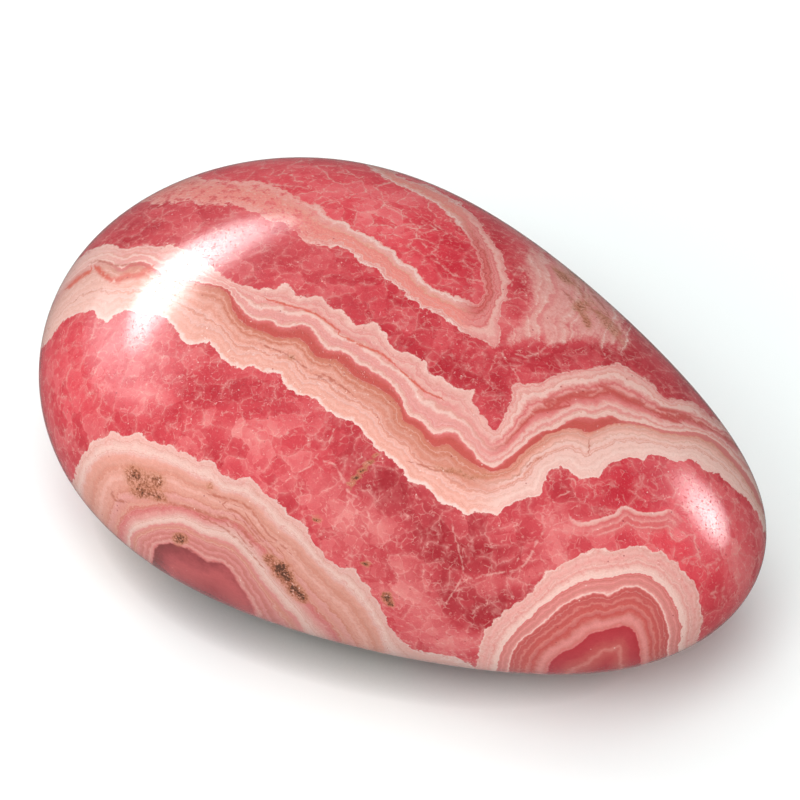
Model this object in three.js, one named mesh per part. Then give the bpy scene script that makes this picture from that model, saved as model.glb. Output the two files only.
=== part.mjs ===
// A polished rhodochrosite palm stone: one smooth, egg-shaped pebble that lies on its side.
// Millimetres, +Z up, +X towards the narrow end. The origin is on the table, under the middle of the stone.

import * as THREE from "three";
import { mergeVertices } from "three/addons/utils/BufferGeometryUtils.js";

// Driving dimensions
const LENGTH = 66; // blunt end to narrow end
const HALF_WIDTH = 20.5; // before the sides are filled out
const HALF_HEIGHT = 13.4;
const REST_DEPTH = 0.4; // how much of the belly is ground away, so that the stone doesn't rock

// How far the form departs from an ellipsoid, as shares of the dimensions above
const SIDE_FULLNESS = 0.13; // the sides are blunter in plan than an ellipse
const CROWN_FLATNESS = 0.15; // the crown and belly are flatter, so they meet the sides in a shoulder
const WIDTH_TAPER = -0.3; // narrower towards +X
const WIDTH_TAPER_CUBIC = 0.19; // gives some width back at the very tips
const HEIGHT_TAPER = -0.15; // thinner towards +X
const BEND = 0.02; // both ends lean a little towards +Y

const FACET_DIVISIONS = 18; // each edge of the icosahedron is cut into this many parts, plus one

// A coordinate of the unit sphere, pushed outwards between its middle and its tips.
function fuller(value, fullness) {
  return value * (1 + fullness * (1 - value * value));
}

// The point of the stone's skin that stands for a direction of the unit sphere.
function skinPoint(direction) {
  const along = direction.x;
  const widthShare = 1 + WIDTH_TAPER * along + WIDTH_TAPER_CUBIC * along ** 3;
  const heightShare = 1 + HEIGHT_TAPER * along;
  const side = fuller(direction.y, SIDE_FULLNESS) * widthShare + BEND * along * along;
  const rise = fuller(direction.z, CROWN_FLATNESS) * heightShare;
  return new THREE.Vector3((LENGTH / 2) * along, HALF_WIDTH * side, HALF_HEIGHT * rise);
}

// Moves every vertex to the skin, presses the belly flat and puts the origin under the middle.
function shapeStone(sphere) {
  const positions = sphere.getAttribute("position");
  const direction = new THREE.Vector3();
  for (let i = 0; i < positions.count; i++) {
    direction.fromBufferAttribute(positions, i).normalize();
    positions.setXYZ(i, ...skinPoint(direction));
  }
  sphere.computeBoundingBox();
  const restHeight = sphere.boundingBox.min.z + REST_DEPTH;
  const middle = sphere.boundingBox.getCenter(new THREE.Vector3());
  for (let i = 0; i < positions.count; i++) {
    positions.setZ(i, Math.max(positions.getZ(i), restHeight));
  }
  sphere.translate(-middle.x, -middle.y, -restHeight);
  return sphere;
}

// An icosahedron's faces are even all over, so the stone has no seam and no pinched pole.
function stoneGeometry() {
  const sphere = new THREE.IcosahedronGeometry(1, FACET_DIVISIONS);
  sphere.deleteAttribute("normal");
  sphere.deleteAttribute("uv");
  const stone = shapeStone(mergeVertices(sphere, 1e-5));
  stone.computeVertexNormals();
  return stone;
}

const rhodochrosite = new THREE.MeshStandardMaterial({
  color: new THREE.Color().setRGB(0.8, 0.36, 0.37, THREE.SRGBColorSpace),
  roughness: 0.15,
  metalness: 0,
});

const stone = new THREE.Mesh(stoneGeometry(), rhodochrosite);
stone.name = "polished_stone";

const palmStone = new THREE.Group();
palmStone.name = "rhodochrosite_palm_stone";
palmStone.add(stone);

export default palmStone;
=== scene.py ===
import math

import bmesh
import bpy
import numpy as np
from mathutils import Matrix, Vector
from mathutils.kdtree import KDTree


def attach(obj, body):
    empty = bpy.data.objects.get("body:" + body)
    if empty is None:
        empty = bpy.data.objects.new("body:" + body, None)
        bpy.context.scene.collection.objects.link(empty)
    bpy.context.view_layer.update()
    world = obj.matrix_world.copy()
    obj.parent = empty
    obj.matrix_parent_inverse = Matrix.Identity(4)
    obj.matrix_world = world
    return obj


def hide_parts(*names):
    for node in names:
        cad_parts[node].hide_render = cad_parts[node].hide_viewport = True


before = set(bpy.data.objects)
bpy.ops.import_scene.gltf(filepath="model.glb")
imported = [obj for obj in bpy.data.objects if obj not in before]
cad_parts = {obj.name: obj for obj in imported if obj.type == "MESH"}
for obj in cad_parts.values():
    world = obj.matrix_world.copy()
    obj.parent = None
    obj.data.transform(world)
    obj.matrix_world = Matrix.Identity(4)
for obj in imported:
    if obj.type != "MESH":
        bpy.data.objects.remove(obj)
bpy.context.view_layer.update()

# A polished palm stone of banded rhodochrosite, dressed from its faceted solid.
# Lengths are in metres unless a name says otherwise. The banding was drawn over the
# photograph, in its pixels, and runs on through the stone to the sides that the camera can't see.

MM = 0.001

# Camera, as fitted to the outline in the photograph
IMAGE_SIZE = 800  # pixels, both ways
SENSOR = 36.0  # mm
LENS = 245.06  # mm
VIEW_AZIMUTH = math.radians(35.62)
VIEW_ELEVATION = math.radians(45.0)
VIEW_DISTANCE = 450 * MM
VIEW_TARGET = Vector((0.0, -0.04 * MM, 13.0 * MM))
TARGET_PIXEL = (403.9, 431.1)  # where the target shows in the picture

VIEW_BACK = Vector((
    math.sin(VIEW_AZIMUTH) * math.cos(VIEW_ELEVATION),
    -math.cos(VIEW_AZIMUTH) * math.cos(VIEW_ELEVATION),
    math.sin(VIEW_ELEVATION),
))
VIEW_RIGHT = Vector((math.cos(VIEW_AZIMUTH), math.sin(VIEW_AZIMUTH), 0.0))
VIEW_UP = VIEW_BACK.cross(VIEW_RIGHT)
PIXELS_PER_RADIAN = LENS / SENSOR * IMAGE_SIZE


def make_camera():
    camera = bpy.data.objects.new("camera", bpy.data.cameras.new("camera"))
    bpy.context.scene.collection.objects.link(camera)
    camera.data.lens = LENS
    camera.data.sensor_width = SENSOR
    camera.data.clip_start = 10 * MM
    camera.data.clip_end = 20.0
    camera.location = VIEW_TARGET + VIEW_BACK * VIEW_DISTANCE
    middle = IMAGE_SIZE / 2
    turn_right = (middle - TARGET_PIXEL[0]) / PIXELS_PER_RADIAN
    turn_up = (TARGET_PIXEL[1] - middle) / PIXELS_PER_RADIAN
    direction = -VIEW_BACK + turn_right * VIEW_RIGHT + turn_up * VIEW_UP
    camera.rotation_euler = direction.to_track_quat("-Z", "Y").to_euler()
    bpy.context.scene.camera = camera


# The banding: outlines in pixels of the photograph

# The main band runs from the left end, under the highlight, to the narrow right end.
BAND_LINES = {
    "main_foot": [
        (-60, 400), (15, 362), (43, 346), (52, 336), (60, 325), (66, 320), (75, 314), (84, 311), (92, 309),
        (97, 315), (105, 322), (113, 318), (122, 311), (135, 311), (150, 314), (165, 318), (172, 325),
        (178, 332), (183, 341), (192, 345), (200, 343), (211, 342), (216, 350), (222, 358), (230, 364),
        (240, 368), (247, 369), (256, 366), (262, 371), (272, 373), (279, 373), (285, 383), (293, 392),
        (300, 396), (310, 396), (318, 402), (328, 412), (340, 417), (352, 421), (362, 430), (370, 440),
        (377, 449), (388, 455), (397, 462), (403, 472), (410, 481), (420, 484), (430, 489), (436, 497),
        (441, 503), (452, 505), (458, 509), (463, 515), (472, 513), (482, 512), (498, 515), (503, 508),
        (512, 503), (522, 499), (532, 496), (541, 495), (543, 484), (547, 473), (553, 470), (558, 467),
        (568, 468), (573, 473), (577, 478), (590, 477), (600, 477), (604, 471), (607, 466), (612, 462),
        (620, 459), (633, 457), (644, 459), (648, 456), (655, 454), (662, 455), (672, 460), (690, 459),
        (698, 462), (706, 470), (717, 473), (725, 480), (733, 487), (740, 493), (747, 498), (754, 507),
        (760, 518), (764, 530), (775, 550), (830, 640),
    ],
    "stripe_foot": [
        (-60, 390), (20, 345), (60, 297), (70, 285), (80, 277), (92, 269), (103, 264), (113, 267),
        (122, 272), (131, 267), (142, 266), (150, 270), (165, 277), (185, 281), (200, 284), (215, 287),
        (228, 293), (231, 302), (236, 315), (245, 325), (258, 330), (268, 334), (280, 338), (297, 337),
        (303, 341), (308, 347), (317, 357), (330, 359), (340, 362), (348, 370), (358, 378), (368, 384),
        (380, 388), (390, 396), (398, 403), (401, 412), (403, 421), (412, 425), (420, 430), (427, 440),
        (437, 447), (445, 444), (455, 450), (463, 457), (472, 462), (482, 468), (492, 471), (502, 470),
        (512, 464), (524, 452), (536, 443), (547, 435), (557, 431), (564, 428), (572, 428), (580, 430),
        (588, 433), (596, 430), (606, 426), (616, 423), (625, 423), (637, 424), (649, 427), (660, 432),
        (672, 434), (685, 435), (697, 436), (706, 440), (716, 446), (727, 456), (737, 467), (746, 480),
        (753, 491), (759, 503), (767, 518), (830, 625),
    ],
    "stripe_top": [
        (-60, 380), (20, 335), (60, 291), (70, 279), (80, 271), (92, 264), (103, 260), (113, 263),
        (122, 268), (131, 263), (142, 261), (150, 265), (165, 274), (185, 279), (200, 282), (215, 285),
        (228, 289), (233, 297), (240, 306), (248, 316), (256, 320), (265, 319), (272, 321), (280, 327),
        (290, 326), (300, 324), (308, 326), (315, 333), (322, 343), (330, 350), (340, 350), (350, 354),
        (357, 363), (366, 366), (375, 372), (385, 378), (393, 385), (400, 395), (404, 405), (408, 414),
        (416, 418), (424, 423), (430, 431), (436, 434), (444, 431), (452, 431), (459, 435), (465, 443),
        (472, 449), (477, 457), (484, 464), (492, 467), (500, 464), (510, 456), (520, 447), (530, 439),
        (540, 432), (550, 430), (557, 428), (563, 424), (572, 418), (582, 416), (592, 418), (602, 416),
        (612, 414), (620, 419), (635, 421), (648, 424), (660, 429), (672, 431), (685, 431), (698, 432),
        (708, 436), (718, 441), (728, 451), (738, 462), (748, 475), (755, 487), (760, 498), (768, 513),
        (830, 610),
    ],
    "main_top": [
        (-60, 370), (20, 325), (50, 295), (63, 277), (75, 263), (88, 252), (95, 248), (105, 245),
        (115, 246), (125, 249), (135, 246), (150, 246), (163, 247), (175, 245), (190, 252), (205, 262),
        (222, 275), (240, 284), (250, 287), (262, 288), (275, 288), (284, 284), (290, 286), (295, 293),
        (298, 298), (305, 297), (314, 296), (322, 296), (328, 303), (335, 309), (343, 310), (348, 316),
        (352, 322), (358, 325), (368, 323), (378, 323), (383, 330), (387, 337), (393, 345), (400, 352),
        (408, 352), (414, 356), (420, 357), (427, 362), (428, 370), (433, 376), (441, 377), (447, 382),
        (455, 387), (466, 389), (476, 389), (472, 396), (473, 403), (480, 411), (486, 420), (491, 427),
        (495, 431), (499, 424), (504, 415), (509, 406), (511, 397), (512, 388), (515, 383), (522, 382),
        (532, 384), (540, 382), (550, 377), (560, 373), (572, 370), (585, 369), (592, 367), (600, 365),
        (612, 363), (622, 364), (628, 368), (636, 373), (645, 377), (652, 384), (660, 392), (668, 398),
        (680, 399), (690, 401), (698, 405), (706, 411), (716, 419), (830, 480),
    ],
}

# The upper band folds round the red core: along its underside, then up its right side.
FOLD_LINES = {
    "fold_outside": [
        (60, 215), (130, 203), (150, 202), (158, 206), (165, 203), (178, 201), (190, 200), (200, 206),
        (210, 204), (222, 205), (232, 203), (240, 207), (252, 211), (258, 213), (264, 218), (270, 222),
        (280, 222), (287, 225), (293, 230), (298, 235), (305, 241), (315, 244), (325, 245), (332, 247),
        (340, 247), (348, 250), (357, 257), (361, 264), (368, 266), (375, 267), (382, 273), (388, 281),
        (395, 284), (402, 290), (408, 297), (416, 302), (422, 308), (432, 311), (440, 314), (446, 320),
        (455, 325), (460, 332), (468, 335), (476, 338), (486, 341), (496, 349), (499, 335), (498, 322),
        (500, 310), (504, 300), (508, 293), (507, 287), (511, 281), (506, 272), (503, 262), (500, 252),
        (495, 245), (490, 238), (484, 230), (477, 221), (470, 213), (462, 206), (450, 198), (437, 191),
        (422, 184), (405, 179), (385, 165), (350, 120),
    ],
    "fold_inside": [
        (60, 120), (160, 165), (197, 176), (210, 179), (225, 179), (240, 182), (255, 181), (268, 183),
        (280, 188), (290, 193), (300, 199), (310, 203), (320, 206), (325, 214), (333, 219), (345, 222),
        (352, 227), (360, 231), (370, 237), (378, 240), (385, 246), (393, 249), (397, 256), (402, 262),
        (410, 265), (418, 270), (421, 278), (428, 283), (440, 290), (450, 294), (460, 297), (466, 300),
        (473, 303), (480, 302), (484, 294), (483, 285), (481, 275), (479, 265), (477, 255), (472, 245),
        (466, 235), (458, 225), (450, 217), (440, 208), (428, 200), (415, 192), (400, 186), (385, 178),
        (360, 160), (320, 120),
    ],
}

# The nodule that is cut by the lower left edge and the round one at the lower right, each from its
# rim to its core, and a pale arc over the right one
NODULE_LINES = {
    "left_rim": [
        (40, 560), (60, 510), (74, 478), (76, 470), (80, 460), (86, 452), (90, 445), (97, 441), (105, 437),
        (112, 432), (118, 434), (125, 437), (137, 433), (143, 435), (147, 440), (155, 443), (163, 445),
        (172, 446), (177, 451), (185, 454), (192, 456), (200, 461), (212, 462), (217, 468), (221, 474),
        (226, 478), (240, 479), (253, 479), (258, 487), (263, 492), (270, 498), (278, 502), (284, 507),
        (290, 517), (300, 521), (305, 525), (309, 534), (315, 545), (320, 549), (324, 556), (331, 561),
        (340, 567), (352, 569), (358, 573), (360, 580), (368, 586), (374, 597), (380, 606), (383, 614),
        (388, 623), (393, 633), (402, 641), (412, 648), (425, 652), (440, 655), (455, 658), (475, 668),
        (520, 720),
    ],
    "left_rim_inside": [
        (75, 560), (84, 515), (85, 500), (85, 490), (87, 480), (92, 470), (97, 463), (105, 458),
        (115, 457), (127, 456), (142, 460), (155, 462), (165, 465), (175, 468), (185, 474), (192, 480),
        (205, 482), (215, 488), (222, 494), (232, 496), (243, 498), (250, 503), (256, 507), (263, 515),
        (270, 524), (278, 530), (288, 537), (298, 545), (308, 556), (318, 566), (330, 578), (342, 588),
        (355, 600), (365, 612), (372, 625), (380, 640), (400, 720),
    ],
    "left_line": [
        (125, 600), (127, 560), (127, 540), (129, 527), (135, 521), (145, 519), (155, 516), (170, 514),
        (180, 513), (190, 516), (200, 521), (212, 524), (225, 525), (235, 529), (245, 538), (255, 548),
        (265, 560), (275, 575), (288, 590), (300, 605), (315, 622), (330, 640), (360, 700),
    ],
    "left_line_inside": [
        (129, 600), (131, 555), (131, 538), (135, 532), (143, 529), (150, 526), (160, 524), (170, 524),
        (180, 524), (188, 526), (195, 531), (205, 536), (217, 539), (230, 544), (240, 552), (250, 563),
        (260, 578), (272, 593), (285, 608), (298, 622), (330, 680),
    ],
    "left_core": [
        (148, 610), (151, 575), (153, 560), (155, 549), (162, 545), (172, 544), (182, 547), (192, 551),
        (199, 557), (208, 562), (220, 563), (228, 568), (234, 576), (240, 586), (247, 597), (252, 606),
        (262, 640),
    ],
    "right_rim": [
        (455, 740), (476, 665), (480, 650), (482, 638), (486, 630), (492, 623), (498, 617), (506, 610),
        (514, 605), (522, 600), (530, 593), (538, 585), (543, 577), (549, 571), (556, 569), (563, 563),
        (571, 561), (577, 555), (585, 553), (592, 550), (600, 550), (606, 549), (612, 552), (622, 550),
        (630, 546), (640, 546), (648, 548), (653, 552), (660, 552), (667, 555), (671, 560), (678, 563),
        (682, 570), (688, 577), (694, 583), (698, 591), (699, 600), (701, 609), (703, 616), (701, 624),
        (700, 632), (698, 645), (705, 680), (720, 740),
    ],
    "right_rim_inside": [
        (485, 740), (497, 668), (503, 650), (510, 638), (520, 627), (532, 616), (540, 608), (550, 601),
        (560, 594), (570, 587), (580, 582), (590, 580), (605, 578), (615, 576), (625, 574), (638, 573),
        (648, 576), (656, 581), (663, 587), (670, 595), (675, 605), (679, 616), (681, 628), (680, 640),
        (679, 655), (690, 740),
    ],
    "right_red": [
        (500, 740), (510, 668), (513, 653), (520, 643), (530, 634), (542, 625), (552, 616), (562, 608),
        (572, 601), (582, 597), (592, 594), (600, 593), (605, 595), (608, 597), (613, 594), (620, 590),
        (630, 588), (638, 588), (646, 592), (652, 597), (657, 602), (661, 609), (664, 618), (667, 628),
        (668, 640), (667, 652), (670, 740),
    ],
    "right_core": [
        (530, 740), (548, 670), (556, 657), (566, 651), (576, 646), (584, 640), (591, 634), (600, 631),
        (610, 629), (620, 626), (628, 626), (633, 630), (636, 636), (639, 645), (640, 655), (641, 668),
        (648, 740),
    ],
    "arc": [
        (540, 520), (555, 512), (566, 514), (573, 521), (585, 523), (604, 518), (615, 514), (621, 507),
        (631, 508), (637, 512), (647, 513), (659, 513), (669, 509), (677, 514), (690, 524), (720, 545),
    ],
}

# How far past the picture an outline's ends are taken before it is closed into a region
FAR = 3000

# The stone's fine mesh: rounds of subdivision, and how near corners are to be one
FINER_ROUNDS = 2
WELD_REACH = 0.001 * MM


def stone_mesh_points(node):
    """The node's corners and triangles, with the corners that its faces share merged."""
    welded = bmesh.new()
    welded.from_mesh(node.data)
    bmesh.ops.remove_doubles(welded, verts=welded.verts, dist=WELD_REACH)
    bmesh.ops.triangulate(welded, faces=welded.faces)
    welded.verts.index_update()
    points = np.array([v.co for v in welded.verts])
    triangles = np.array([[v.index for v in f.verts] for f in welded.faces])
    welded.free()
    return points, triangles


def loop_subdivide(points, triangles):
    """One round of Loop's subdivision of a closed triangle mesh: four triangles for each one."""
    starts = triangles.ravel()
    ends = np.roll(triangles, -1, axis=1).ravel()
    opposites = np.roll(triangles, -2, axis=1).ravel()
    pairs = np.sort(np.stack([starts, ends], axis=1), axis=1)
    edges, edge_of = np.unique(pairs, axis=0, return_inverse=True)
    edge_of = edge_of.reshape(-1)
    across = np.zeros((len(edges), 3))
    np.add.at(across, edge_of, points[opposites])
    edge_points = 0.375 * (points[edges[:, 0]] + points[edges[:, 1]]) + 0.125 * across
    around = np.zeros_like(points)
    valence = np.zeros(len(points))
    for here, there in ((0, 1), (1, 0)):
        np.add.at(around, edges[:, here], points[edges[:, there]])
        np.add.at(valence, edges[:, here], 1)
    pull = np.where(valence == 3, 3 / 16, 3 / (8 * valence))[:, None]
    corner_points = (1 - valence[:, None] * pull) * points + pull * around
    middles = edge_of.reshape(-1, 3) + len(points)
    a, b, c = triangles.T
    ab, bc, ca = middles.T
    finer = [(a, ab, ca), (ab, b, bc), (ca, bc, c), (ab, bc, ca)]
    finer = np.concatenate([np.stack(corners, axis=1) for corners in finer])
    return np.concatenate([corner_points, edge_points]), finer


def make_stone(node):
    points, triangles = stone_mesh_points(node)
    for _ in range(FINER_ROUNDS):
        points, triangles = loop_subdivide(points, triangles)
    mesh = bpy.data.meshes.new("banded_stone")
    mesh.from_pydata(points.tolist(), [], triangles.tolist())
    mesh.validate()
    mesh.shade_smooth()
    stone = bpy.data.objects.new("banded_stone", mesh)
    bpy.context.scene.collection.objects.link(stone)
    return stone


def vertex_arrays(mesh):
    """The mesh's points and their normals."""
    points = np.zeros(len(mesh.vertices) * 3)
    mesh.vertices.foreach_get("co", points)
    normals = np.zeros(len(mesh.vertices) * 3)
    mesh.vertex_normals.foreach_get("vector", normals)
    return points.reshape(-1, 3), normals.reshape(-1, 3)


# Where each point of the stone finds its place in the drawing.
# A point that the camera sees has the pixel that it shows at. The layers run on through the
# stone along the line of sight, and lean over as they go, so the far side isn't a mirror image.
LAYER_LEAN = (-90, -120)  # pixels, at the point that faces away from the camera


def drawing_places(points, normals):
    eye = np.array(VIEW_TARGET + VIEW_BACK * VIEW_DISTANCE)
    seen = points - eye
    right, up, back = (seen @ np.array(axis) for axis in (VIEW_RIGHT, VIEW_UP, VIEW_BACK))
    places = np.stack([
        TARGET_PIXEL[0] + PIXELS_PER_RADIAN * right / -back,
        TARGET_PIXEL[1] - PIXELS_PER_RADIAN * up / -back,
    ], axis=1)
    towards_eye = -seen / np.linalg.norm(seen, axis=1, keepdims=True)
    turned_away = np.clip(-(normals * towards_eye).sum(axis=1), 0, 1)
    return places + turned_away[:, None] ** 2 * np.array(LAYER_LEAN)


def smooth_line(points, step=3.0):
    """A Catmull-Rom curve through the points, as short straight pieces."""
    points = np.array(points, float)
    padded = np.concatenate([[2 * points[0] - points[1]], points, [2 * points[-1] - points[-2]]])
    pieces = []
    for before, start, end, after in zip(padded, padded[1:], padded[2:], padded[3:]):
        count = max(1, int(np.linalg.norm(end - start) / step))
        t = (np.arange(count) / count)[:, None]
        pieces.append(0.5 * (
            2 * start + (end - before) * t + (2 * before - 5 * start + 4 * end - after) * t ** 2
            + (3 * start - before - 3 * end + after) * t ** 3
        ))
    return np.concatenate([*pieces, points[-1:]])


def nearest_on(places, line):
    """How far each place is from a line of short straight pieces, and on which side of it, 1 or -1."""
    tree = KDTree(len(line))
    for index, (x, y) in enumerate(line):
        tree.insert((x, y, 0), index)
    tree.balance()
    nearest = np.array([tree.find((x, y, 0))[1] for x, y in places])
    distance = np.full(len(places), np.inf)
    side = np.ones(len(places))
    for start in (np.maximum(nearest - 1, 0), np.minimum(nearest, len(line) - 2)):
        along = line[start + 1] - line[start]
        off = places - line[start]
        share = np.clip((off * along).sum(axis=1) / (along ** 2).sum(axis=1), 0, 1)
        gap = np.linalg.norm(off - share[:, None] * along, axis=1)
        turn = np.sign(along[:, 0] * off[:, 1] - along[:, 1] * off[:, 0])
        side = np.where(gap < distance, turn, side)
        distance = np.minimum(distance, gap)
    return distance, side


def within(places, outline):
    """Whether each place is inside a closed outline."""
    inside = np.zeros(len(places), bool)
    x, y = places.T
    for (x0, y0), (x1, y1) in zip(outline, np.roll(outline, -1, axis=0)):
        if y0 != y1:
            crosses = (y0 > y) != (y1 > y)
            inside ^= crosses & (x < x0 + (y - y0) * (x1 - x0) / (y1 - y0))
    return inside


def signed_distances(places, points, closing):
    """Pixels from the line through the points: above nought outside the region that closing closes."""
    line = smooth_line(points)
    distance, _ = nearest_on(places, line)
    outline = np.concatenate([line, np.array(closing, float)])
    return np.where(within(places, outline), -distance, distance)


# Corners that close an open outline: below the picture, or above it
BELOW = [(FAR, FAR), (-FAR, FAR)]
ABOVE = [(FAR, -FAR), (-FAR, -FAR)]

# Each group of outlines: how they are closed, and 1 if their distances count up outside the region
LINE_GROUPS = [(BAND_LINES, BELOW, 1), (FOLD_LINES, ABOVE, -1), (NODULE_LINES, BELOW, -1)]

# Veins: thin lines, each (half its width, its points), in pixels
WHITE_VEINS = [
    (1.1, [(320, 461), (333, 464), (339, 471), (344, 484), (348, 491), (361, 500), (369, 514)]),
    (0.7, [(334, 429), (328, 446), (318, 454), (310, 466), (296, 474), (285, 482)]),
    (0.8, [(451, 522), (456, 539), (461, 558), (463, 572), (458, 585), (451, 596), (447, 602)]),
    (1.0, [(467, 578), (480, 577), (497, 573), (512, 571), (523, 566), (531, 554), (535, 545), (544, 530)]),
    (0.8, [(546, 474), (558, 480), (571, 478), (576, 484), (570, 491), (554, 499), (548, 510)]),
    (0.9, [(326, 204), (340, 200), (349, 196), (369, 191), (386, 183), (401, 181)]),
    (0.8, [(381, 204), (395, 211), (408, 218), (417, 229), (420, 239), (428, 250), (429, 257), (440, 264),
           (451, 273), (460, 277), (483, 282)]),
    (0.7, [(419, 234), (433, 230), (445, 221)]),
    (0.8, [(500, 312), (499, 305), (506, 300), (520, 298), (531, 309), (532, 317), (527, 326), (516, 330),
           (507, 321)]),
    (0.9, [(511, 287), (515, 273), (522, 267), (531, 280), (536, 291)]),
    (1.0, [(491, 366), (499, 351), (504, 357), (513, 369), (520, 382)]),
    (1.0, [(559, 341), (549, 344), (541, 351), (527, 357), (516, 353)]),
]
RED_VEINS = [
    (3.4, [(98, 269), (105, 276), (116, 281), (126, 276), (138, 276), (150, 269)]),
    (2.4, [(69, 287), (78, 279), (89, 272)]),
    (3.2, [(546, 402), (562, 398), (577, 393), (592, 392)]),
    (2.0, [(537, 411), (552, 409), (566, 406)]),
    (3.6, [(603, 386), (614, 392), (624, 398), (640, 402)]),
    (2.6, [(661, 409), (672, 411), (688, 417)]),
    (1.8, [(663, 417), (678, 422)]),
    (1.2, [(268, 300), (290, 306), (306, 310), (322, 318), (338, 330)]),
    (1.4, [(345, 337), (362, 346), (378, 352), (392, 362)]),
    (1.2, [(402, 372), (414, 382), (426, 392), (440, 398)]),
]
BROWN_VEINS = [
    (1.5, [(162, 500), (181, 506), (199, 511), (212, 515), (225, 519), (240, 528), (251, 541)]),
    (0.9, [(205, 519), (222, 527), (238, 540), (250, 552), (262, 566)]),
    (1.4, [(112, 493), (116, 500), (123, 502)]),
    (1.0, [(94, 262), (99, 261), (110, 264), (119, 266), (132, 264), (142, 264)]),
    (1.0, [(212, 495), (233, 500), (249, 508), (259, 521), (268, 534), (279, 543), (290, 552)]),
    (0.9, [(225, 508), (240, 514), (250, 526), (262, 540), (276, 556)]),
    (0.8, [(262, 345), (276, 350), (290, 356), (303, 366), (318, 376), (335, 384)]),
    (0.9, [(318, 372), (330, 378), (341, 386), (352, 394)]),
    (1.0, [(412, 462), (424, 466), (438, 471), (452, 472), (470, 478)]),
    (1.6, [(554, 269), (568, 278), (577, 285), (584, 298), (590, 307), (600, 314), (613, 323), (622, 334)]),
    (1.4, [(566, 294), (573, 301), (579, 309), (582, 316), (590, 323)]),
    (1.0, [(574, 272), (586, 284), (596, 298), (608, 312)]),
    (1.3, [(374, 457), (366, 467), (358, 477), (351, 487)]),
    (0.8, [(540, 458), (530, 464), (520, 474)]),
    (0.8, [(589, 440), (589, 450)]),
]
VEIN_REACH = 12  # pixels around a vein within which its distance is worked out
NO_VEIN = 99.0  # the distance written where no vein is near

ARC_PATCHES = [(626, 520, 52, 18, 0, 1.3)]

# Soft patches, each (x, y, half width, half height, turn in degrees, strength), in pixels
DEEP_PATCHES = [
    (440, 240, 34, 22, 45, 1.0), (462, 262, 22, 16, 40, 0.6), (385, 295, 45, 16, 35, 0.6),
    (395, 342, 36, 12, 25, 0.7), (360, 312, 30, 14, 10, 0.5), (462, 370, 34, 16, 10, 1.0),
    (500, 385, 14, 30, 0, 1.0), (565, 353, 70, 12, 0, 0.9), (655, 378, 50, 12, 38, 0.7),
    (190, 392, 22, 16, 0, 1.0), (222, 380, 34, 22, 0, 0.5), (270, 262, 30, 26, 0, 0.3),
    (388, 490, 30, 18, 20, 1.0), (362, 460, 26, 26, 0, 0.7), (432, 532, 34, 26, 50, 1.0),
    (445, 583, 14, 22, 0, 1.0), (490, 552, 40, 18, -10, 0.9), (500, 605, 46, 16, -18, 1.0),
    (478, 626, 30, 10, -10, 0.6), (640, 485, 34, 20, 0, 1.8), (590, 500, 36, 14, 0, 0.6),
    (690, 556, 14, 22, -20, 0.4), (714, 608, 14, 26, 20, 0.5), (724, 480, 30, 8, 40, 0.5),
    (516, 312, 15, 15, 0, 1.0), (521, 287, 15, 12, 0, 1.0), (492, 235, 10, 34, -35, 0.9),
    (62, 352, 12, 22, 15, 0.6), (120, 238, 26, 12, -35, 0.8), (160, 220, 40, 12, -15, 0.4),
    (560, 487, 12, 10, 0, 0.6), (330, 335, 40, 10, 0, 0.3), (285, 505, 16, 16, 40, 0.5),
    (225, 470, 22, 8, 15, 0.4),
]
PALE_PATCHES = [
    (318, 478, 30, 26, 0, 0.55), (345, 515, 30, 20, 20, 0.6), (395, 600, 36, 14, 20, 0.9),
    (385, 528, 44, 14, 15, 0.5), (400, 575, 44, 26, 30, 0.5), (430, 622, 40, 20, 10, 0.6),
    (140, 393, 32, 9, 10, 0.9), (150, 345, 40, 30, 0, 0.5), (270, 435, 34, 22, 0, 0.5),
    (225, 430, 40, 14, 10, 0.5), (302, 442, 22, 16, 0, 0.4), (590, 528, 60, 9, 0, 0.7),
    (556, 540, 16, 34, 0, 0.6), (530, 575, 40, 8, -20, 0.7), (745, 560, 14, 50, 15, 0.7),
    (468, 642, 36, 12, 0, 1.2), (505, 330, 22, 20, 0, 0.8), (540, 318, 40, 24, 20, 0.9),
    (690, 480, 26, 24, 0, 0.5), (380, 212, 44, 18, 30, 0.55), (330, 182, 80, 16, 8, 0.15),
    (250, 385, 20, 16, 0, 0.2), (75, 350, 22, 40, 10, 0.35), (690, 548, 26, 26, 0, 0.7),
    (735, 560, 14, 30, 10, 0.4), (520, 235, 14, 30, -45, 0.6), (340, 440, 30, 20, 0, -0.2),
]
PINK_PATCHES = [
    (565, 290, 34, 34, 45, 1.0), (600, 320, 40, 22, 45, 1.0), (535, 262, 20, 30, -45, 0.5),
    (540, 326, 26, 14, 20, 0.5), (516, 338, 16, 9, -30, 0.7), (560, 338, 18, 6, -15, 0.5),
]
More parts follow.
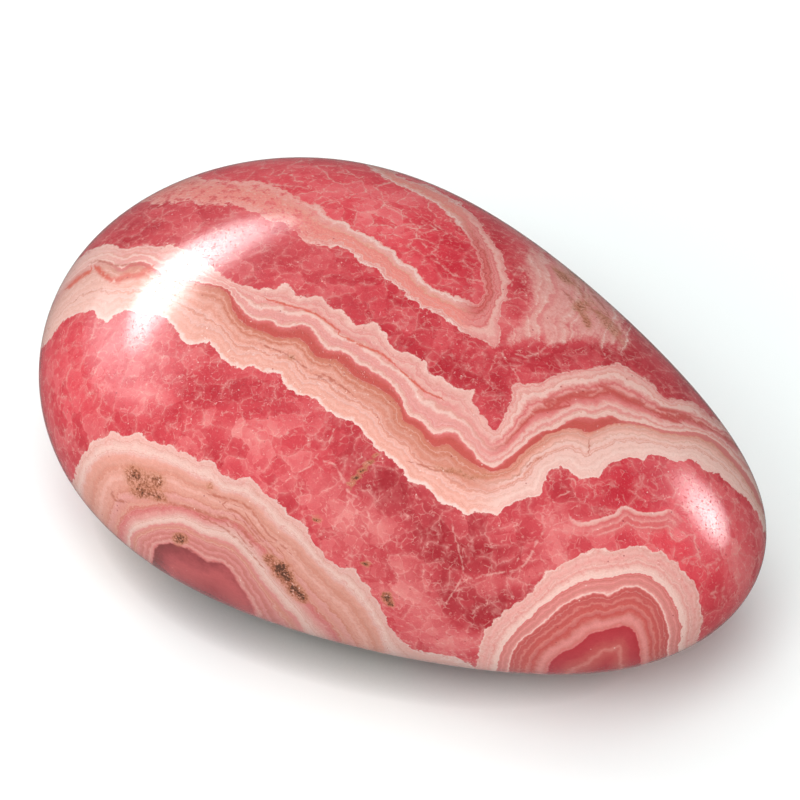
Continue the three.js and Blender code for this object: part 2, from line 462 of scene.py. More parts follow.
BROWN_PATCHES = [
    (579, 307, 8, 7, 20, 0.95), (587, 322, 5, 8, -20, 1.0), (562, 276, 14, 4, 42, 0.9),
    (594, 304, 38, 8, 48, 0.34), (612, 330, 26, 5, 50, 0.55), (575, 274, 16, 5, 40, 0.5),
    (144, 482, 26, 15, 25, 0.75), (134, 474, 7, 7, 0, 0.9), (158, 480, 5, 6, 0, 1.0),
    (140, 493, 9, 6, 0, 0.9), (158, 497, 9, 5, 20, 0.8), (180, 539, 7, 6, 0, 1.8),
    (269, 559, 6, 5, 50, 1.4), (281, 569, 7, 8, 50, 1.9), (288, 578, 5, 6, 50, 1.4),
    (294, 589, 6, 6, 50, 1.6), (302, 597, 6, 5, 50, 1.7), (285, 580, 24, 11, 50, 0.4),
    (210, 486, 3, 4, 0, 1.2), (448, 470, 22, 5, 12, 0.7), (480, 477, 18, 4, -5, 0.6),
    (317, 519, 3, 3, 0, 2.2), (366, 564, 3, 3, 0, 2.2), (387, 597, 4, 5, 0, 2.6), (391, 604, 3, 3, 0, 1.8),
    (291, 357, 4, 4, 0, 1.1), (367, 465, 20, 2, -48, 1.5), (354, 480, 9, 2, -45, 1.7),
]
# Where the red is brighter and clearer, and where it is duller: partly the red's own clearness, partly
# painted light and shade, brighter towards the top and the two ends, duller in the lower middle and along the
# lower edge
VIVID_AND_LIT_PATCHES = [
    (330, 185, 150, 45, 15, 1.0), (420, 250, 70, 60, 45, 0.6), (62, 370, 40, 70, 0, 0.6),
    (110, 410, 60, 30, 0, 0.1), (690, 545, 60, 60, 0, 0.8), (640, 480, 60, 30, 0, 0.4),
    (430, 540, 90, 60, 20, -0.7), (390, 490, 50, 30, 20, -0.5), (490, 600, 60, 30, -10, -0.4),
    (620, 640, 70, 40, 0, -0.6), (190, 570, 60, 40, 30, -0.9),
]


def patch_sum(places, patches):
    """The soft patches' strengths added up at each place."""
    total = np.zeros(len(places))
    for x, y, half_width, half_height, turn, strength in patches:
        angle = math.radians(turn)
        off = places - np.array((x, y))
        along = (off @ np.array((math.cos(angle), math.sin(angle)))) / half_width
        across = (off @ np.array((-math.sin(angle), math.cos(angle)))) / half_height
        total += strength * np.exp(-(along ** 2 + across ** 2))
    return total


def vein_distances(places, veins):
    """The signed distance from the nearest vein and the plain one, in pixels, and half that vein's width."""
    sides, nearness = np.full((2, len(places)), NO_VEIN)
    widths = np.ones(len(places))
    for half_width, points in veins:
        line = smooth_line(points, 1.5)
        low, high = line.min(axis=0) - VEIN_REACH, line.max(axis=0) + VEIN_REACH
        close = np.flatnonzero(((places > low) & (places < high)).all(axis=1))
        distance, side = nearest_on(places[close], line)
        nearer = distance < nearness[close]
        sides[close[nearer]] = (side * distance)[nearer]
        nearness[close[nearer]] = distance[nearer]
        widths[close[nearer]] = half_width
    return {"side": sides, "near": nearness, "width": widths}


def set_attribute(mesh, name, values):
    attribute = mesh.attributes.new(name, "FLOAT", "POINT")
    attribute.data.foreach_set("value", np.asarray(values, np.float32))


def draw_banding(mesh):
    """Gives each point of the mesh its distances from the drawn lines, and its soft patches."""
    points, normals = vertex_arrays(mesh)
    places = drawing_places(points, normals)
    for lines, closing, side in LINE_GROUPS:
        for name, line in lines.items():
            set_attribute(mesh, name, side * signed_distances(places, line, closing))
    for name, veins in (("white_vein", WHITE_VEINS), ("red_vein", RED_VEINS), ("brown_vein", BROWN_VEINS)):
        for part, values in vein_distances(places, veins).items():
            set_attribute(mesh, f"{name}_{part}", values)
    for name, patches in (("arc_patch", ARC_PATCHES), ("pinkness", PINK_PATCHES),
                          ("brownness", BROWN_PATCHES), ("vividness_and_light", VIVID_AND_LIT_PATCHES)):
        set_attribute(mesh, name, patch_sum(places, patches))
    set_attribute(mesh, "red_depth", patch_sum(places, DEEP_PATCHES) - patch_sum(places, PALE_PATCHES))
    set_attribute(mesh, "eastness", (places[:, 0] - 400) / 400)


class Value:
    """A number or colour that a node puts out, with which formulas can be written."""

    def __init__(self, graph, socket):
        self.graph = graph
        self.socket = socket

    def __add__(self, other):
        return self.graph.math("ADD", self, other)

    def __radd__(self, other):
        return self.graph.math("ADD", other, self)

    def __sub__(self, other):
        return self.graph.math("SUBTRACT", self, other)

    def __rsub__(self, other):
        return self.graph.math("SUBTRACT", other, self)

    def __mul__(self, other):
        return self.graph.math("MULTIPLY", self, other)

    def __rmul__(self, other):
        return self.graph.math("MULTIPLY", other, self)


class Graph:
    """A material's nodes, added by short calls."""

    def __init__(self, name):
        self.material = bpy.data.materials.new(name)
        self.material.use_nodes = True
        self.nodes = self.material.node_tree.nodes
        self.shader = self.nodes["Principled BSDF"]

    def plug(self, value, socket):
        """Joins a Value to a socket, or sets a plain number or colour on it."""
        if isinstance(value, Value):
            self.material.node_tree.links.new(value.socket, socket)
        else:
            socket.default_value = value

    def node(self, kind, inputs, **settings):
        made = self.nodes.new(kind)
        for name, value in settings.items():
            setattr(made, name, value)
        for name, value in inputs.items():
            self.plug(value, made.inputs[name])
        return made

    def math(self, operation, *values):
        made = self.node("ShaderNodeMath", dict(enumerate(values)), operation=operation)
        return Value(self, made.outputs[0])

    def vector(self, operation, inputs):
        return Value(self, self.node("ShaderNodeVectorMath", inputs, operation=operation).outputs[0])

    def attribute(self, name):
        return Value(self, self.node("ShaderNodeAttribute", {}, attribute_name=name).outputs["Fac"])

    def place(self):
        """The point's place in the row frame, in millimetres."""
        where = self.node("ShaderNodeTexCoord", {})
        return self.scaled(Value(self, where.outputs["Object"]), 1 / MM)

    def noise(self, where, size, detail=2.0, roughness=0.5, shift=0.0):
        """Noise with features of about size millimetres, from -1 to 1; another shift gives other noise."""
        moved = self.vector("ADD", {0: where, 1: (shift, -2 * shift, 3 * shift)})
        made = self.node("ShaderNodeTexNoise", {
            "Vector": moved, "Scale": 1 / size, "Detail": detail, "Roughness": roughness,
        })
        return 2 * Value(self, made.outputs["Fac"]) - 1

    def lines(self, along, size, shift):
        """Noise that changes only with the number along: fine growth lines, from -1 to 1."""
        made = self.node("ShaderNodeTexNoise", {
            "W": along + shift, "Scale": 1 / size, "Detail": 2.0, "Roughness": 0.6,
        }, noise_dimensions="1D")
        return 2 * Value(self, made.outputs["Fac"]) - 1

    def warped(self, where, size, amount, detail=1.0):
        """The place, shaken by noise."""
        made = self.node("ShaderNodeTexNoise", {"Vector": where, "Scale": 1 / size, "Detail": detail})
        centred = self.vector("ADD", {0: Value(self, made.outputs["Color"]), 1: (-0.5, -0.5, -0.5)})
        return self.vector("ADD", {0: where, 1: self.scaled(centred, 2 * amount)})

    def cells(self, where, size, feature="F1"):
        """A Voronoi pattern with cells of about size millimetres: (distance in sizes, cell's own number)."""
        made = self.node("ShaderNodeTexVoronoi", {"Vector": where, "Scale": 1 / size}, feature=feature)
        own = None
        if feature != "DISTANCE_TO_EDGE":
            split = self.node("ShaderNodeSeparateColor", {"Color": Value(self, made.outputs["Color"])})
            own = Value(self, split.outputs[0])
        return Value(self, made.outputs["Distance"]), own

    def rise(self, value, start, end, low=0.0, high=1.0):
        """Goes smoothly from low to high as the value goes from start to end."""
        made = self.node("ShaderNodeMapRange", {
            "Value": value, "From Min": start, "From Max": end, "To Min": low, "To Max": high,
        }, interpolation_type="SMOOTHSTEP")
        return Value(self, made.outputs[0])

    def mix(self, first, second, share):
        """Between two colours, which are sockets 6 and 7 of a Mix node, by a share from 0 to 1."""
        made = self.node("ShaderNodeMix", {0: share, 6: first, 7: second}, data_type="RGBA")
        return Value(self, made.outputs[2])

    def scaled(self, vector, factor):
        """A place, or a colour made brighter or darker, times a factor."""
        return self.vector("SCALE", {0: vector, "Scale": factor})

    def peak(self, value, half_width):
        """One where the value is nought, and down to nought at half_width on either side."""
        return self.rise(self.math("ABSOLUTE", value), 0.0, half_width, 1.0, 0.0)

    def ramp(self, value, stops):
        """A colour for each number: stops are (number, colour), lowest number first."""
        low, high = stops[0][0], stops[-1][0]
        share = self.node("ShaderNodeMapRange", {"Value": value, "From Min": low, "From Max": high})
        made = self.node("ShaderNodeValToRGB", {"Fac": Value(self, share.outputs[0])})
        elements = made.color_ramp.elements
        while len(elements) > 1:
            elements.remove(elements[-1])
        elements[0].position = 0.0
        elements[0].color = stops[0][1]
        for number, colour in stops[1:]:
            elements.new((number - low) / (high - low)).color = colour
        return Value(self, made.outputs["Color"])

    def steps(self, *distances):
        """A number that climbs by one from each drawn line to the next."""
        total = 0.0
        for lower, upper in zip(distances, distances[1:]):
            part = self.math("DIVIDE", lower, self.math("MAXIMUM", lower - upper, 0.5))
            part = self.node("ShaderNodeClamp", {"Value": part})
            total = total + Value(self, part.outputs[0])
        return total


# The room's own light: on surfaces, as it shows in the polish, and as the camera sees it
ROOM_LIGHT = 0.095
ROOM_SHEEN = 0.22
ROOM_BACKDROP = 0.85

# How much brighter than itself a level surface looks under the studio's lights
STUDIO_LIGHT = 1.25


def rgb(red, green, blue):
    """A colour as it looks in a picture, 0 to 255, turned into the surface's own."""
    def light(value):
        share = value / 255
        return share / 12.92 if share <= 0.04045 else ((share + 0.055) / 1.055) ** 2.4
    return tuple(light(value) / STUDIO_LIGHT for value in (red, green, blue)) + (1.0,)


# Colours of the mineral
CHALK = rgb(250, 218, 208)
WHITE_LINE = rgb(247, 204, 193)
SHELL = rgb(240, 184, 173)
PALE_PINK = rgb(237, 165, 157)
PINK = rgb(232, 146, 141)
ROSE = rgb(222, 114, 112)
SALMON = rgb(241, 145, 134)
PEACH = rgb(240, 172, 156)
TAN = rgb(227, 150, 131)
TAN_LINE = rgb(208, 126, 104)
RUST_LINE = rgb(190, 106, 88)
STRIPE_RED = rgb(203, 88, 82)
RING_SALMON = rgb(216, 126, 118)
RING_RED = rgb(200, 92, 88)
CORE_RED = rgb(184, 54, 62)
SQUIGGLE = rgb(220, 96, 78)
MAUVE = rgb(160, 60, 64)
OCHRE = rgb(206, 136, 106)
BROWN = rgb(164, 96, 70)
DARK = rgb(88, 58, 47)
# Two sets of reds: the vivid ones stand partly for painted light, the dull, darker ones partly for painted
# shade
VIVID_AND_LIT_REDS = [(-1.3, rgb(248, 152, 148)), (-0.7, rgb(245, 116, 120)), (0.0, rgb(236, 80, 90)),
              (1.2, rgb(214, 46, 62))]
DULL_AND_SHADED_REDS = [(-1.3, rgb(226, 132, 128)), (-0.7, rgb(213, 102, 103)), (0.0, rgb(196, 72, 78)),
             (1.2, rgb(166, 44, 52))]


def crackle(g, place, size, width, seed, kept):
    """Thin winding cracks, broken into short pieces: more of them stay where kept is lower."""
    line = g.peak(g.noise(place, size, 2.0, 0.55, seed), width)
    return line * g.rise(g.noise(place, 0.7 * size, 1.0, 0.5, seed + 3.0), kept, kept + 0.25)


def crystal_ground(g, place, cloud, mottle, fine):
    """The red ground: crystals of a millimetre or two with broken pale joints, crackle and frost."""
    crystal_place = g.warped(g.warped(place, 1.7, 0.55, 2.0), 0.4, 0.14)
    _, crystal = g.cells(crystal_place, 2.0)
    joint, _ = g.cells(crystal_place, 2.0, "DISTANCE_TO_EDGE")
    small_place = g.warped(g.warped(place, 0.8, 0.35), 0.25, 0.09)
    _, small_crystal = g.cells(small_place, 0.8)
    small_joint, _ = g.cells(small_place, 0.8, "DISTANCE_TO_EDGE")
    # Partly painted light and shade: the vivid reds where the top and ends are to look more brightly lit, the
    # dull ones lower down
    vivid_and_lit = g.attribute("vividness_and_light") * 0.55 + 0.42
    frosted = g.noise(place, 2.6, 2.0, 0.6, 13.0)
    depth = (g.attribute("red_depth") + 0.1 + 0.9 * (crystal - 0.5) + 0.5 * (small_crystal - 0.5)
             + 0.3 * cloud + 0.3 * mottle + 0.3 * fine - 0.45 * frosted)
    share = g.rise(vivid_and_lit + 0.15 * cloud, 0.0, 1.0)
    ground = g.mix(g.ramp(depth, DULL_AND_SHADED_REDS), g.ramp(depth, VIVID_AND_LIT_REDS), share)

    # Frost: a dust of tiny pale grains in the paler parts
    dust = g.rise(fine + 0.5 * mottle, 0.05, 0.75) * g.rise(depth, 0.6, -0.6, 0.15, 0.65)
    ground = g.mix(ground, PINK, dust)

    # Joints between crystals: crisp in the clear core, faint and broken elsewhere
    joints_here = g.rise(g.noise(place, 0.9, 2.0, 0.6, 3.0), -0.25, 0.25)
    small_here = g.rise(g.noise(place, 0.9, 2.0, 0.6, 7.0), -0.1, 0.35)
    clear = g.rise(vivid_and_lit, 0.7, 1.05)
    joint_share = g.rise(joint - 0.02 * fine, 0.0, 0.045, 1.0, 0.0) * joints_here
    whiteness = (joint_share * (0.22 + 0.5 * clear)
                 + 0.35 * g.rise(small_joint - 0.04 * fine, 0.0, 0.09, 1.0, 0.0) * small_here
                 + 0.4 * crackle(g, place, 0.75, 0.075, 31.0, 0.15)
                 + 0.3 * crackle(g, place, 0.36, 0.11, 41.0, 0.2))
    ground = g.mix(ground, PINK, g.rise(joint, 0.0, 0.2, 0.25, 0.0) * joints_here)
    return g.mix(ground, SHELL, whiteness)


def laminated(g, colour, across, thickness, seed, pale_share, dark, dark_share):
    """The colour with fine growth lines, each about thickness of a drawn layer."""
    for factor, shift, strength in ((2.7, 0.0, 0.6), (1.0, 31.0, 1.0)):
        line = g.lines(across, factor * thickness, seed + shift)
        colour = g.mix(colour, CHALK, g.rise(line, 0.05, 0.55, 0.0, strength * pale_share))
        colour = g.mix(colour, dark, g.rise(line, -0.05, -0.55, 0.0, strength * dark_share))
    return colour


def make_mineral():
    """Rhodochrosite: pale scalloped bands and ringed nodules in red, cell-like crystal."""
    g = Graph("polished_rhodochrosite")
    place = g.place()
    cloud = g.noise(place, 5.0, 2.0, 0.6)
    mottle = g.noise(place, 0.9, 3.0, 0.65)
    ripple = g.noise(place, 0.5, 2.0, 0.5, 15.0)
    fine = g.noise(place, 0.28, 3.0, 0.65, 4.0)

    # Botryoidal edges: rounded bumps a millimetre across, and a finer crumble
    bumps, _ = g.cells(g.warped(place, 2.0, 0.3), 0.8)
    crumble = g.noise(place, 0.3, 3.0, 0.6)
    wobble = 4.0 * (bumps - 0.45) + 2.6 * crumble
    small_wobble = 0.55 * wobble
    shake = 0.05 * mottle + 0.06 * ripple + 0.03 * fine

    def drawn(name, wobble=wobble):
        return g.attribute(name) + wobble

    def drawn_vein(name, soft, seed, whole=0.0):
        """How much of a vein's colour shows: soft widens it, and whole leaves fewer breaks in it."""
        side = g.attribute(name + "_side") + 1.5 * crumble + 1.3 * ripple
        line = g.peak(side, soft * g.attribute(name + "_width"))
        broken = g.rise(g.noise(place, 0.5, 1.0, 0.6, seed), -0.3 - whole, 0.25 - whole)
        return line * broken * g.rise(g.attribute(name + "_near"), 8.0, 4.0)

    east = g.attribute("eastness")
    colour = crystal_ground(g, place, cloud, mottle, fine)

    # The pink cloud at the far right, streaked along the fold
    fold_side = g.attribute("fold_outside")
    streak = g.lines(fold_side + 5.0 * mottle + 2.0 * ripple + 12.0 * cloud, 7.0, 41.0)
    pinkness = g.rise(g.attribute("pinkness") + 0.3 * mottle + 0.3 * streak + 0.15 * fine, 0.3, 0.75)
    pink = g.ramp(streak + 0.5 * mottle + 0.35 * fine, [
        (-0.7, rgb(228, 136, 136)), (-0.3, PINK), (-0.05, PALE_PINK), (0.3, SHELL), (0.65, CHALK),
    ])
    colour = g.mix(colour, pink, 0.9 * pinkness)
    white_vein = drawn_vein("white_vein", 1.9, 21.0)
    colour = g.mix(colour, SHELL, 0.5 * white_vein)

    # A pale arc with two more lines beside it, over the right nodule
    arc = g.attribute("arc") + 0.5 * wobble
    arc_colour = g.ramp(arc + 0.8 * ripple, [
        (-2.0, PINK), (0.0, WHITE_LINE), (2.0, SHELL), (4.0, ROSE), (7.0, PINK), (8.5, PALE_PINK),
        (10.0, ROSE), (13.0, ROSE), (14.5, PALE_PINK), (16.0, ROSE), (24.0, ROSE),
    ])
    arc_here = g.rise(g.attribute("arc_patch") + 0.3 * mottle, 0.3, 0.7, 0.0, 0.75)
    colour = g.mix(colour, arc_colour, arc_here * g.rise(arc, -1.5, 0.0) * g.rise(arc, 22.0, 14.0))

    # The fold round the red core
    fold_out = drawn("fold_outside")
    fold_in = drawn("fold_inside")
    across = g.steps(fold_out, fold_in)
    lower_fold = g.ramp(across + 1.3 * shake, [
        (0.0, CHALK), (0.05, WHITE_LINE), (0.1, PINK), (0.15, SHELL), (0.2, SALMON), (0.32, SALMON),
        (0.36, PALE_PINK), (0.4, SALMON), (0.6, SALMON), (0.64, TAN), (0.68, PEACH), (0.76, PALE_PINK),
        (0.84, SHELL), (0.92, CHALK), (1.0, SHELL),
    ])
    right_fold = g.ramp(across + shake, [
        (0.0, SHELL), (0.05, PINK), (0.14, PALE_PINK), (0.22, SHELL), (0.3, PALE_PINK), (0.36, ROSE),
        (0.42, PINK), (0.52, ROSE), (0.56, PINK), (0.66, STRIPE_RED), (0.74, ROSE), (0.84, STRIPE_RED),
        (0.92, ROSE), (0.97, PALE_PINK), (1.0, ROSE),
    ])
    fold = g.mix(lower_fold, right_fold, g.rise(east, 0.13, 0.2))
    fold = laminated(g, fold, across + shake, 0.06, 0.0, 0.25, ROSE, 0.35)
    fold_west = g.rise(east, -0.1, -0.3)
    fold = g.mix(fold, SALMON, 0.65 * fold_west)
    fold = g.mix(fold, SHELL, 0.7 * fold_west * g.rise(crumble - 0.5 * mottle, 0.1, 0.4))
    inside_fold = g.rise(fold_out, -0.6, 0.6) * g.rise(fold_in, 0.8, -0.8)
    inside_fold = inside_fold * (1.0 - 0.75 * fold_west * g.rise(mottle + 0.5 * fine + 0.3 * cloud, 0.0, 0.3))
    colour = g.mix(colour, fold, inside_fold)

    # The main band
    foot = drawn("main_foot")
    stripe_foot = drawn("stripe_foot", small_wobble)
    stripe_top = drawn("stripe_top", small_wobble)
    top = drawn("main_top")
    across = g.steps(foot, stripe_foot, stripe_top, top)
    west_band = g.ramp(across + shake, [
        (0.0, CHALK), (0.05, WHITE_LINE), (0.1, PEACH), (0.3, PEACH), (0.33, SHELL), (0.42, PEACH),
        (0.46, TAN), (0.49, SHELL), (0.56, PEACH), (0.62, TAN), (0.66, PEACH), (0.76, TAN),
        (0.82, TAN_LINE), (0.86, TAN), (0.95, TAN_LINE), (1.05, STRIPE_RED), (1.5, STRIPE_RED),
        (1.85, ROSE), (1.95, PINK), (2.01, WHITE_LINE), (2.08, SHELL), (2.16, PINK), (2.32, PALE_PINK),
        (2.4, WHITE_LINE), (2.46, SHELL), (2.55, PINK), (2.6, PALE_PINK), (2.7, SHELL), (2.74, PINK),
        (2.78, PALE_PINK), (2.94, SHELL), (2.99, WHITE_LINE),
    ])
    east_band = g.ramp(across + shake, [
        (0.0, CHALK), (0.06, SHELL), (0.2, WHITE_LINE), (0.5, SHELL), (0.55, TAN), (0.59, SHELL),
        (0.66, WHITE_LINE), (0.71, TAN_LINE), (0.74, PEACH), (0.82, TAN), (0.88, TAN_LINE), (0.97, TAN),
        (1.06, STRIPE_RED), (1.6, STRIPE_RED), (1.9, ROSE), (2.0, SHELL), (2.07, WHITE_LINE), (2.13, PINK),
        (2.22, SHELL), (2.28, PINK), (2.36, ROSE), (2.44, STRIPE_RED), (2.5, PINK), (2.55, PALE_PINK),
        (2.61, ROSE), (2.68, PALE_PINK), (2.76, WHITE_LINE), (2.84, PALE_PINK), (2.9, SHELL), (2.95, PINK),
        (3.0, SHELL),
    ])
    band = g.mix(west_band, east_band, g.rise(east + 0.05 * cloud, 0.12, 0.3))
    lower_half = g.rise(across, 1.0, 0.9)
    paler_ends = g.rise(east, -0.66, -0.76, 0.0, 0.6) + 0.42 * g.rise(east, 0.3, 0.5) * lower_half
    band = g.mix(band, WHITE_LINE, paler_ends)

    # The tan of its lower half is browner in the valley
    valley = g.rise(east, -0.25, 0.02) * g.rise(east, 0.3, 0.12) * g.rise(across, 0.35, 0.7) * lower_half
    band = g.mix(band, TAN_LINE, valley * g.rise(mottle + 0.5 * fine, -0.6, 0.5, 0.45, 0.9))
    off_stripe = 1.0 - g.rise(across, 0.95, 1.1) * g.rise(across, 1.98, 1.85)
    band = g.mix(band, PINK, 0.6 * g.rise(east + 0.06 * mottle, 0.5, 0.62) * (1.0 - off_stripe))
    band = laminated(g, band, across + shake, 0.05, 5.0, 0.3 * off_stripe, TAN_LINE, 0.45)
    haze = g.rise(mottle + 0.6 * fine + 0.3 * cloud, 0.1, 0.8, 0.0, 0.3)
    band = g.mix(band, WHITE_LINE, haze * off_stripe)
    inside_band = g.rise(foot, -0.6, 0.6) * g.rise(top, 0.8, -0.8)
    colour = g.mix(colour, band, inside_band)

    def drawn_rings(rim, *rings):
        """The rim, the core and the steps of a nodule from one to the other."""
        rings = [drawn(rim)] + [drawn(name, small_wobble) for name in rings]
        return rings[0], rings[-1], g.steps(*rings)

    # The left nodule
    rim, core, across = drawn_rings(
        "left_rim", "left_rim_inside", "left_line", "left_line_inside", "left_core",
    )
    nodule = g.ramp(across + shake, [
        (0.0, CHALK), (0.08, SHELL), (0.3, SHELL), (0.6, WHITE_LINE), (0.85, SHELL), (0.98, PEACH),
        (1.1, TAN), (1.17, TAN), (1.22, PEACH), (1.35, PEACH), (1.52, TAN), (1.6, PALE_PINK), (1.75, TAN),
        (1.85, ROSE), (1.92, PINK), (2.0, PALE_PINK), (2.3, SHELL), (2.6, WHITE_LINE), (2.9, SHELL),
        (3.02, PINK), (3.2, TAN), (3.3, PINK), (3.5, RING_SALMON), (3.6, PINK), (3.75, RING_SALMON),
        (3.85, PALE_PINK), (3.93, PINK), (4.0, ROSE),
    ])
    nodule = laminated(g, nodule, across + shake, 0.05, 11.0, 0.25, TAN_LINE, 0.45)
    nodule = g.mix(nodule, WHITE_LINE, haze)
    speckles = g.rise(crumble + 0.5 * mottle, 0.0, 0.5, 0.0, 0.4)
    nodule = g.mix(nodule, PINK, speckles * g.rise(across, 1.1, 0.9))
    nodule = g.mix(nodule, RING_SALMON, 0.8 * speckles * g.rise(across, 1.2, 1.5) * g.rise(across, 2.1, 1.9))
    core_colour = g.ramp(core + 8.0 * mottle + 4.0 * cloud + 90.0 * (east + 0.575), [
        (0.0, rgb(148, 72, 70)), (8.0, rgb(164, 76, 78)), (16.0, rgb(190, 90, 92)),
        (22.0, rgb(206, 100, 100)), (32.0, rgb(190, 88, 90)), (44.0, MAUVE),
    ])
    nodule = g.mix(nodule, core_colour, g.rise(core, -0.8, 1.0))
    # Painted shade: the nodule is darkened by up to an eighth from its left end towards its lower right,
    # along the bottom edge
    nodule = g.scaled(nodule, g.rise(east, -0.75, -0.35, 1.0, 0.88))
    colour = g.mix(colour, nodule, g.rise(rim, -0.6, 0.6))

    # The right nodule, its rim speckled and its core with a pale loop
    rim, core, across = drawn_rings("right_rim", "right_rim_inside", "right_red", "right_core")
    nodule = g.ramp(across + shake, [
        (0.0, WHITE_LINE), (0.1, SHELL), (0.35, PALE_PINK), (0.5, SHELL), (0.6, PALE_PINK), (0.7, SHELL),
        (0.86, WHITE_LINE), (0.97, WHITE_LINE), (1.04, ROSE), (1.2, RING_SALMON), (1.4, PINK),
        (1.55, RING_SALMON), (1.66, RING_SALMON), (1.76, PINK), (1.84, PALE_PINK), (1.92, WHITE_LINE),
        (1.97, PINK), (2.02, RING_RED), (2.2, RING_RED), (2.26, RING_SALMON), (2.3, RING_RED),
        (2.4, STRIPE_RED), (2.46, RING_SALMON), (2.52, RING_RED), (2.6, STRIPE_RED), (2.7, RING_SALMON),
        (2.82, PINK), (2.92, RING_SALMON), (2.98, ROSE),
    ])
    nodule = laminated(g, nodule, across + shake, 0.07, 17.0, 0.16, RING_RED, 0.3)
    speckles = g.rise(crumble + 0.5 * mottle, 0.0, 0.45, 0.0, 0.4) * g.rise(across, 0.95, 0.8)
    nodule = g.mix(nodule, ROSE, speckles)
    core_colour = g.ramp(core + 2.0 * mottle + ripple, [
        (0.0, CORE_RED), (9.0, rgb(190, 66, 72)), (17.0, RING_RED), (20.0, RING_SALMON), (23.0, RING_RED),
        (34.0, CORE_RED),
    ])
    nodule = g.mix(nodule, core_colour, g.rise(core, -0.8, 1.0))
    colour = g.mix(colour, nodule, g.rise(rim, -0.6, 0.6))

    # Veins that cross the bands
    squiggle = g.mix(SQUIGGLE, STRIPE_RED, g.rise(east, 0.0, 0.3))
    colour = g.mix(colour, squiggle, 0.9 * drawn_vein("red_vein", 1.6, 25.0, 0.35))
    colour = g.mix(colour, RUST_LINE, 0.8 * drawn_vein("brown_vein", 2.0, 29.0, 0.1))

    # Brown stains, clotted with dark grains, and a few pale grains in the strongest
    clot = g.noise(place, 0.24, 2.0, 0.7, 51.0)
    stain = g.attribute("brownness") + 0.4 * mottle + 0.15 * clot
    grain = clot + 0.5 * stain
    colour = g.mix(colour, OCHRE, g.rise(stain, 0.2, 0.7, 0.0, 0.6))
    colour = g.mix(colour, BROWN, g.rise(grain, 0.25, 0.6) * g.rise(stain, 0.35, 0.8, 0.0, 0.85))
    colour = g.mix(colour, DARK, g.rise(grain, 0.6, 0.95) * g.rise(stain, 0.6, 1.1, 0.0, 0.9))
    colour = g.mix(colour, CHALK, g.rise(clot, -0.15, -0.45) * g.rise(stain, 0.7, 1.2, 0.0, 0.5))

    # Pores and flecks all over
    pore, pore_kind = g.cells(place, 0.75)
    colour = g.mix(colour, MAUVE, g.rise(pore, 0.13, 0.06) * g.rise(pore_kind, 0.86, 0.88, 0.0, 0.75))
    colour = g.mix(colour, CHALK, g.rise(pore, 0.12, 0.05) * g.rise(pore_kind, 0.16, 0.14, 0.0, 0.6))
    grit = g.noise(place, 0.12, 1.0, 0.6, 8.0)
    colour = g.scaled(colour, 1.0 + 0.08 * fine + 0.1 * grit + 0.05 * mottle)

    # The polish, a little duller along the white veins and pitted very finely
    pits = g.rise(g.noise(place, 0.16, 0.0, 0.5, 61.0), 0.34, 0.55)
    swell = g.noise(place, 0.7, 1.0, 0.5, 17.0)
    bump = g.node("ShaderNodeBump", {
        "Height": 0.35 * swell - 4.0 * pits, "Strength": 0.35, "Distance": 0.012 * MM,
    })
    g.plug(Value(g, bump.outputs["Normal"]), g.shader.inputs["Normal"])
    g.plug(0.125 + 0.05 * fine + 0.1 * white_vein, g.shader.inputs["Roughness"])
    g.plug(colour, g.shader.inputs["Base Color"])
    g.plug(1.5, g.shader.inputs["IOR"])
    g.plug(0.35, g.shader.inputs["Specular IOR Level"])
    return g.material


# The floor: its colour in the open, the colour of a painted contact shadow right beside the stone,
# where less light gets in, how far that painted shadow reaches, and half its width
FLOOR_COLOUR = (0.89, 0.95, 0.943, 1)
CONTACT_SHADOW_COLOUR = (0.26, 0.31, 0.295, 1)
CONTACT_SHADOW_REACH = 4.2 * MM
FLOOR_HALF = 3.0


def make_floor():
    corners = [(x * FLOOR_HALF, y * FLOOR_HALF, 0) for x, y in ((-1, -1), (1, -1), (1, 1), (-1, 1))]
    mesh = bpy.data.meshes.new("floor")
    mesh.from_pydata(corners, [], [(0, 1, 2, 3)])
    floor = bpy.data.objects.new("floor", mesh)
    bpy.context.scene.collection.objects.link(floor)
    g = Graph("white_paper")
    # Painted contact shadow: ambient occlusion darkens the floor's colour where the stone is near
    contact_shadow = g.node("ShaderNodeAmbientOcclusion", {"Distance": CONTACT_SHADOW_REACH}, samples=6)
    shade = g.mix(CONTACT_SHADOW_COLOUR, FLOOR_COLOUR, Value(g, contact_shadow.outputs["AO"]))
    g.plug(shade, g.shader.inputs["Base Color"])
    g.plug(0.9, g.shader.inputs["Roughness"])
    g.plug(0.0, g.shader.inputs["Specular IOR Level"])
    mesh.materials.append(g.material)
    floor.visible_glossy = False


# The softboxes that show in the polish are near; the broad lamps, which light the rest, stand far
# off, so that the floor is pale a long way round the stone.
GLINT_DISTANCE = 0.7
GLINT_LAYERS = 4
GLINT_LAYER_GAP = 0.005
BROAD_DISTANCE = 3.0
BROAD_SIZE = 2.14
BROAD_LAMPS = [  # name, azimuth and elevation in degrees, radiance
    ("key", 35, 60, 3.65), ("low_fill", -10, 35, 3.55), ("back_fill", -100, 50, 1.5),
    ("overhead", 0, 89.9, 1.9),
]


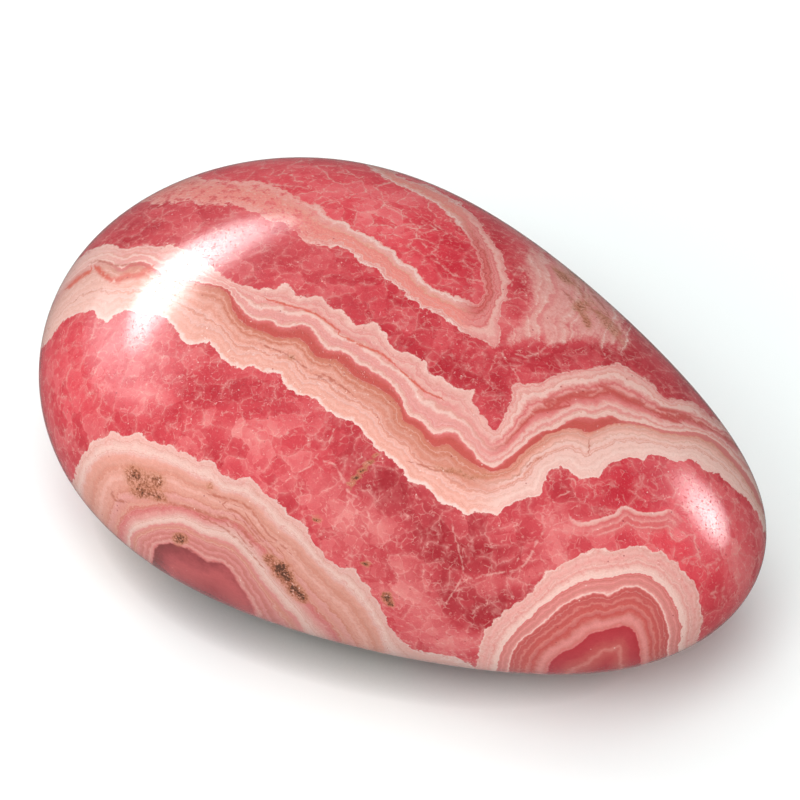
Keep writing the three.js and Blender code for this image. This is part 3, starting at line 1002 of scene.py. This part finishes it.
def make_lamp(name, direction, long_end, size, radiance, shape, facing, distance):
    """An area light that faces a point of the stone; long_end is the way that its long side runs."""
    light = bpy.data.lights.new(name, "AREA")
    light.shape = shape
    light.size, light.size_y = size
    area = size[0] * size[1] * (math.pi / 4 if shape == "ELLIPSE" else 1)
    light.energy = radiance * math.pi * area
    holder = bpy.data.objects.new(name, light)
    bpy.context.scene.collection.objects.link(holder)
    outward = Vector(direction).normalized()
    across = Vector(long_end)
    across = (across - across.dot(outward) * outward).normalized()
    turn = Matrix([across, outward.cross(across), outward]).transposed()
    holder.rotation_euler = turn.to_euler()
    holder.location = Vector(facing) + outward * distance
    return holder


def make_glint(name, direction, long_end, size, radiance, facing, softness):
    """A softbox that shows in the polish: ellipses inside each other, so that its edge is soft."""
    for layer in range(GLINT_LAYERS):
        growth = 1.0 + softness * (layer / (GLINT_LAYERS - 1) - 0.5)
        lamp = make_lamp(
            f"{name}_{layer}", direction, long_end, (growth * size[0], growth * size[1]),
            radiance / GLINT_LAYERS, "ELLIPSE", facing, GLINT_DISTANCE + GLINT_LAYER_GAP * layer,
        )
        lamp.visible_diffuse = False


def studio_direction(azimuth, elevation):
    """The way to a light, in degrees: azimuth 0 is towards -Y and 90 towards +X."""
    turn, rise = math.radians(azimuth), math.radians(elevation)
    return Vector((math.sin(turn) * math.cos(rise), -math.cos(turn) * math.cos(rise), math.sin(rise)))


def make_light():
    """Two softboxes that show in the polish, and broad light that doesn't."""
    # The places on the stone where the highlights lie, and the ways that they are long
    left_point = Vector((-18.3, -7.9, 25.1)) * MM
    right_point = Vector((29.0, 1.2, 19.4)) * MM
    left_long_end = (0.17, 0.60, -0.07)
    right_long_end = (0.46, -0.12, -0.41)
    for name, direction, long_end, size, radiance, facing, softness in (
        ("left_softbox", (-0.755, 0.305, 0.58), left_long_end, (0.51, 0.13), 27.0, left_point, 0.7),
        ("left_glow", (-0.85, -0.09, 0.50), left_long_end, (0.54, 0.36), 7.0, left_point, 1.3),
        ("right_softbox", (0.53, 0.68, 0.50), right_long_end, (0.28, 0.17), 24.0, right_point, 1.4),
        ("right_glow", (0.53, 0.62, 0.57), right_long_end, (0.42, 0.28), 4.2, right_point, 1.4),
    ):
        make_glint(name, direction, long_end, size, radiance, facing, softness)
    level = (1.0, 0.0, 0.0)
    for name, azimuth, elevation, radiance in BROAD_LAMPS:
        lamp = make_lamp(
            name, studio_direction(azimuth, elevation), level, (BROAD_SIZE, BROAD_SIZE), radiance, "SQUARE",
            VIEW_TARGET, BROAD_DISTANCE,
        )
        lamp.visible_glossy = False


def make_room():
    """The room is dark where it would show in the polish, and pale behind the stone."""
    world = bpy.data.worlds.new("studio")
    world.use_nodes = True
    background = world.node_tree.nodes["Background"]
    background.inputs["Color"].default_value = (1, 1, 1, 1)
    rays = world.node_tree.nodes.new("ShaderNodeLightPath")
    lit = world.node_tree.nodes.new("ShaderNodeMapRange")
    lit.inputs["To Min"].default_value = ROOM_LIGHT
    lit.inputs["To Max"].default_value = ROOM_SHEEN
    world.node_tree.links.new(rays.outputs["Is Glossy Ray"], lit.inputs["Value"])
    seen = world.node_tree.nodes.new("ShaderNodeMapRange")
    seen.inputs["To Max"].default_value = ROOM_BACKDROP
    world.node_tree.links.new(lit.outputs["Result"], seen.inputs["To Min"])
    world.node_tree.links.new(rays.outputs["Is Camera Ray"], seen.inputs["Value"])
    world.node_tree.links.new(seen.outputs["Result"], background.inputs["Strength"])
    bpy.context.scene.world = world
    bpy.context.scene.view_settings.view_transform = "Standard"


make_camera()
stone = make_stone(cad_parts["polished_stone"])
draw_banding(stone.data)
stone.data.materials.append(make_mineral())
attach(stone, "root")
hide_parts("polished_stone")
make_floor()
make_light()
make_room()
